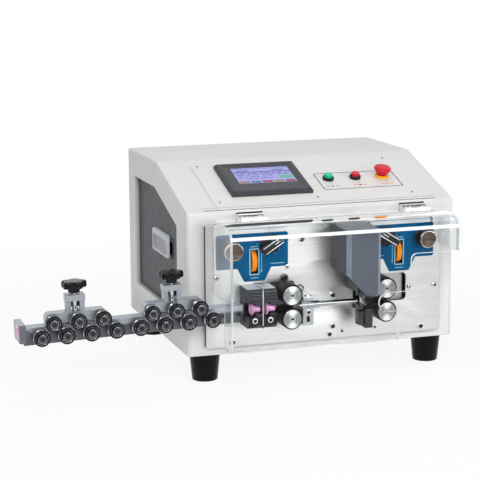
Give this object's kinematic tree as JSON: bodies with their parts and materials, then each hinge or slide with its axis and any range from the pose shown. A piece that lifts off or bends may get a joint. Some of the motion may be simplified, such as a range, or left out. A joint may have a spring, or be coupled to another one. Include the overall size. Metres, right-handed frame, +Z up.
{
  "type": "wire cutting stripping machine",
  "caption": "Benchtop machine that straightens, feeds, cuts and strips electrical wire, with a sloping touch panel, a hinged clear cover and a roller straightener on its left",
  "frame": {"origin": "middle of the bounding box, on the floor under the rubber feet", "axes": "+X to the machine's right along the wire, +Y to the back, +Z up; the clear cover and the face plate look along -Y"},
  "size_m": [0.6766, 0.443, 0.3075],
  "materials": {
    "cabinet_paint": "fine powder coat, warm white",
    "panel_paint": "smooth white film",
    "door_paint": "fine powder coat, dark grey",
    "zinc_sheet": "zinc plated sheet",
    "handle_metal": "die cast, satin",
    "foot_rubber": "moulded black rubber",
    "brushed_plate": "brushed across, bright",
    "blue_film": "printed film, satin",
    "motor_black": "satin black",
    "circuit_board": "solder resist green",
    "black_plastic": "moulded, semi-gloss",
    "screen_plastic": "textured moulding",
    "green_plastic": "glossy moulded",
    "red_plastic": "glossy moulded",
    "orange_plastic": "moulded, serrated rim",
    "brown_metal": "bronze anodised, turned",
    "dark_steel": "black oxide",
    "black_block": "machined acetal",
    "pink_ceramic": "glazed ceramic",
    "bright_steel": "bright plated",
    "hood_paint": "satin blue grey",
    "roller_metal": "turned end, black knurled rim",
    "bar_aluminium": "anodised grey",
    "bearing_steel": "ground bearing steel",
    "knob_black": "moulded, glossy",
    "clear_acrylic": "clear polished sheet"
  },
  "bodies": {
    "machine": {"cabinet_shell": "cabinet_paint", "base_tray": "zinc_sheet", "rear_panel": "cabinet_paint", "side_panels": "door_paint", "carry_handles": "handle_metal", "rubber_feet": "foot_rubber", "face_plate": "brushed_plate", "adjuster_overlays": "blue_film", "wheel_brackets": "zinc_sheet", "drive_motors": "motor_black", "control_electronics": "circuit_board", "mains_inlet": "black_plastic", "control_panel": "panel_paint", "touch_screen": "screen_plastic", "button_collars": "black_plastic", "machine_screws": "dark_steel", "guide_blocks": "black_block", "ceramic_eyelets": "pink_ceramic", "guide_tube": "bright_steel", "cutter_cover": "hood_paint", "hinge_bases": "bright_steel", "straightener_bar": "bar_aluminium"},
    "cover": {"clear_cover": "clear_acrylic", "hinge_leaves": "bright_steel"},
    "start_button": {"start_button": "green_plastic"},
    "stop_button": {"stop_button": "red_plastic"},
    "emergency_stop": {"emergency_stop": "red_plastic"},
    "power_switch": {"power_switch": "black_plastic"},
    "left_carriage": {"left_carriage": "bright_steel"},
    "left_gap_wheel": {"left_gap_wheel": "orange_plastic"},
    "left_pressure_knob": {"left_pressure_knob": "black_plastic"},
    "left_lift_knob": {"left_lift_knob": "brown_metal"},
    "left_lower_roller": {"left_lower_roller": "roller_metal"},
    "left_upper_roller": {"left_upper_roller": "roller_metal"},
    "right_carriage": {"right_carriage": "bright_steel"},
    "right_gap_wheel": {"right_gap_wheel": "orange_plastic"},
    "right_pressure_knob": {"right_pressure_knob": "black_plastic"},
    "right_lift_knob": {"right_lift_knob": "brown_metal"},
    "right_lower_roller": {"right_lower_roller": "roller_metal"},
    "right_upper_roller": {"right_upper_roller": "roller_metal"},
    "upper_blade": {"upper_blade": "dark_steel"},
    "lower_blade": {"lower_blade": "dark_steel"},
    "left_slide": {"left_slide": "bar_aluminium"},
    "left_thumb_screw": {"left_thumb_screw": "knob_black"},
    "straightener_roller_1": {"straightener_roller_1": "bearing_steel"},
    "straightener_roller_2": {"straightener_roller_2": "bearing_steel"},
    "straightener_roller_3": {"straightener_roller_3": "bearing_steel"},
    "straightener_roller_4": {"straightener_roller_4": "bearing_steel"},
    "straightener_roller_5": {"straightener_roller_5": "bearing_steel"},
    "straightener_roller_6": {"straightener_roller_6": "bearing_steel"},
    "straightener_roller_7": {"straightener_roller_7": "bearing_steel"},
    "right_slide": {"right_slide": "bar_aluminium"},
    "right_thumb_screw": {"right_thumb_screw": "knob_black"},
    "straightener_roller_8": {"straightener_roller_8": "bearing_steel"},
    "straightener_roller_9": {"straightener_roller_9": "bearing_steel"},
    "straightener_roller_10": {"straightener_roller_10": "bearing_steel"},
    "straightener_roller_11": {"straightener_roller_11": "bearing_steel"},
    "straightener_roller_12": {"straightener_roller_12": "bearing_steel"},
    "straightener_roller_13": {"straightener_roller_13": "bearing_steel"},
    "straightener_roller_14": {"straightener_roller_14": "bearing_steel"}
  },
  "joints": [
    {"name": "cover_hinge", "type": "hinge", "parent": "machine", "child": "cover", "pos_m": [0.12835, -0.1315, 0.2465], "axis": [-1, 0, 0], "range_deg": [0, 100]},
    {"name": "start_button_press", "type": "slide", "parent": "machine", "child": "start_button", "axis": [0, 0.3027, -0.9531], "range_m": [0, 0.002], "stiffness_N_per_m": 400},
    {"name": "stop_button_press", "type": "slide", "parent": "machine", "child": "stop_button", "axis": [0, 0.3027, -0.9531], "range_m": [0, 0.002], "stiffness_N_per_m": 400},
    {"name": "emergency_stop_press", "type": "slide", "parent": "machine", "child": "emergency_stop", "axis": [0, 0.3027, -0.9531], "range_m": [0, 0.003], "stiffness_N_per_m": 400},
    {"name": "power_switch_rock", "type": "hinge", "parent": "machine", "child": "power_switch", "pos_m": [0.00185, 0.2155, 0.1355], "axis": [1, 0, 0], "range_deg": [0, 16]},
    {"name": "left_roller_lift", "type": "slide", "parent": "machine", "child": "left_carriage", "axis": [0, 0, 1], "range_m": [0, 0.004]},
    {"name": "left_gap_wheel_turn", "type": "hinge", "parent": "machine", "child": "left_gap_wheel", "pos_m": [0.01785, -0.119, 0.1785], "axis": [1, 0, 0], "range_deg": [0, 270]},
    {"name": "left_pressure_turn", "type": "hinge", "parent": "machine", "child": "left_pressure_knob", "pos_m": [0.04085, -0.1365, 0.2045], "axis": [0, 1, 0], "range_deg": [-135, 135]},
    {"name": "left_lift_turn", "type": "hinge", "parent": "machine", "child": "left_lift_knob", "pos_m": [-0.01915, -0.1365, 0.1995], "axis": [0, 1, 0], "range_deg": [0, 90]},
    {"name": "left_lower_feed", "type": "hinge", "parent": "machine", "child": "left_lower_roller", "pos_m": [0.06215, -0.1535, 0.0985], "axis": [0, 1, 0], "continuous": true},
    {"name": "left_upper_feed", "type": "hinge", "parent": "left_carriage", "child": "left_upper_roller", "pos_m": [0.06215, -0.1535, 0.1335], "axis": [0, 1, 0], "continuous": true},
    {"name": "right_roller_lift", "type": "slide", "parent": "machine", "child": "right_carriage", "axis": [0, 0, 1], "range_m": [0, 0.004]},
    {"name": "right_gap_wheel_turn", "type": "hinge", "parent": "machine", "child": "right_gap_wheel", "pos_m": [0.24685, -0.119, 0.1785], "axis": [1, 0, 0], "range_deg": [0, 270]},
    {"name": "right_pressure_turn", "type": "hinge", "parent": "machine", "child": "right_pressure_knob", "pos_m": [0.22385, -0.1365, 0.2045], "axis": [0, 1, 0], "range_deg": [-135, 135]},
    {"name": "right_lift_turn", "type": "hinge", "parent": "machine", "child": "right_lift_knob", "pos_m": [0.28385, -0.1365, 0.1995], "axis": [0, 1, 0], "range_deg": [0, 90]},
    {"name": "right_lower_feed", "type": "hinge", "parent": "machine", "child": "right_lower_roller", "pos_m": [0.21035, -0.1535, 0.0985], "axis": [0, 1, 0], "continuous": true},
    {"name": "right_upper_feed", "type": "hinge", "parent": "right_carriage", "child": "right_upper_roller", "pos_m": [0.21035, -0.1535, 0.1335], "axis": [0, 1, 0], "continuous": true},
    {"name": "upper_blade_cut", "type": "slide", "parent": "machine", "child": "upper_blade", "axis": [0, 0, -1], "range_m": [0, 0.008]},
    {"name": "lower_blade_cut", "type": "slide", "parent": "machine", "child": "lower_blade", "axis": [0, 0, 1], "range_m": [0, 0.008]},
    {"name": "left_slide_move", "type": "slide", "parent": "machine", "child": "left_slide", "axis": [-0.0288, 0, 0.9996], "range_m": [-0.001, 0.003]},
    {"name": "left_thumb_screw_turn", "type": "hinge", "parent": "left_slide", "child": "left_thumb_screw", "pos_m": [-0.2523, -0.1425, 0.14891], "axis": [-0.0288, 0, 0.9996], "range_deg": [-288, 864]},
    {"name": "straightener_roller_1_spin", "type": "hinge", "parent": "machine", "child": "straightener_roller_1", "pos_m": [-0.30396, -0.1645, 0.0981], "axis": [0, 1, 0], "continuous": true},
    {"name": "straightener_roller_2_spin", "type": "hinge", "parent": "left_slide", "child": "straightener_roller_2", "pos_m": [-0.2868, -0.1645, 0.11721], "axis": [0, 1, 0], "continuous": true},
    {"name": "straightener_roller_3_spin", "type": "hinge", "parent": "machine", "child": "straightener_roller_3", "pos_m": [-0.26857, -0.1645, 0.09912], "axis": [0, 1, 0], "continuous": true},
    {"name": "straightener_roller_4_spin", "type": "hinge", "parent": "left_slide", "child": "straightener_roller_4", "pos_m": [-0.25142, -0.1645, 0.11822], "axis": [0, 1, 0], "continuous": true},
    {"name": "straightener_roller_5_spin", "type": "hinge", "parent": "machine", "child": "straightener_roller_5", "pos_m": [-0.23319, -0.1645, 0.10014], "axis": [0, 1, 0], "continuous": true},
    {"name": "straightener_roller_6_spin", "type": "hinge", "parent": "left_slide", "child": "straightener_roller_6", "pos_m": [-0.21603, -0.1645, 0.11924], "axis": [0, 1, 0], "continuous": true},
    {"name": "straightener_roller_7_spin", "type": "hinge", "parent": "machine", "child": "straightener_roller_7", "pos_m": [-0.1978, -0.1645, 0.10116], "axis": [0, 1, 0], "continuous": true},
    {"name": "right_slide_move", "type": "slide", "parent": "machine", "child": "right_slide", "axis": [-0.0288, 0, 0.9996], "range_m": [-0.001, 0.003]},
    {"name": "right_thumb_screw_turn", "type": "hinge", "parent": "right_slide", "child": "right_thumb_screw", "pos_m": [-0.11086, -0.1425, 0.15299], "axis": [-0.0288, 0, 0.9996], "range_deg": [-288, 864]},
    {"name": "straightener_roller_8_spin", "type": "hinge", "parent": "machine", "child": "straightener_roller_8", "pos_m": [-0.16252, -0.1645, 0.10218], "axis": [0, 1, 0], "continuous": true},
    {"name": "straightener_roller_9_spin", "type": "hinge", "parent": "right_slide", "child": "straightener_roller_9", "pos_m": [-0.14536, -0.1645, 0.12128], "axis": [0, 1, 0], "continuous": true},
    {"name": "straightener_roller_10_spin", "type": "hinge", "parent": "machine", "child": "straightener_roller_10", "pos_m": [-0.12713, -0.1645, 0.1032], "axis": [0, 1, 0], "continuous": true},
    {"name": "straightener_roller_11_spin", "type": "hinge", "parent": "right_slide", "child": "straightener_roller_11", "pos_m": [-0.10998, -0.1645, 0.1223], "axis": [0, 1, 0], "continuous": true},
    {"name": "straightener_roller_12_spin", "type": "hinge", "parent": "machine", "child": "straightener_roller_12", "pos_m": [-0.09175, -0.1645, 0.10422], "axis": [0, 1, 0], "continuous": true},
    {"name": "straightener_roller_13_spin", "type": "hinge", "parent": "right_slide", "child": "straightener_roller_13", "pos_m": [-0.07459, -0.1645, 0.12332], "axis": [0, 1, 0], "continuous": true},
    {"name": "straightener_roller_14_spin", "type": "hinge", "parent": "machine", "child": "straightener_roller_14", "pos_m": [-0.05636, -0.1645, 0.10523], "axis": [0, 1, 0], "continuous": true}
  ],
  "couplings": [
    {"joint": "left_gap_wheel_turn", "follows": "left_roller_lift", "rad_per_m": 1178.1},
    {"joint": "left_upper_feed", "follows": "left_lower_feed", "ratio": -1},
    {"joint": "right_gap_wheel_turn", "follows": "right_roller_lift", "rad_per_m": 1178.1},
    {"joint": "right_upper_feed", "follows": "right_lower_feed", "ratio": -1},
    {"joint": "lower_blade_cut", "follows": "upper_blade_cut", "ratio": 1},
    {"joint": "left_thumb_screw_turn", "follows": "left_slide_move", "rad_per_m": 5026.5},
    {"joint": "right_thumb_screw_turn", "follows": "right_slide_move", "rad_per_m": 5026.5}
  ]
}
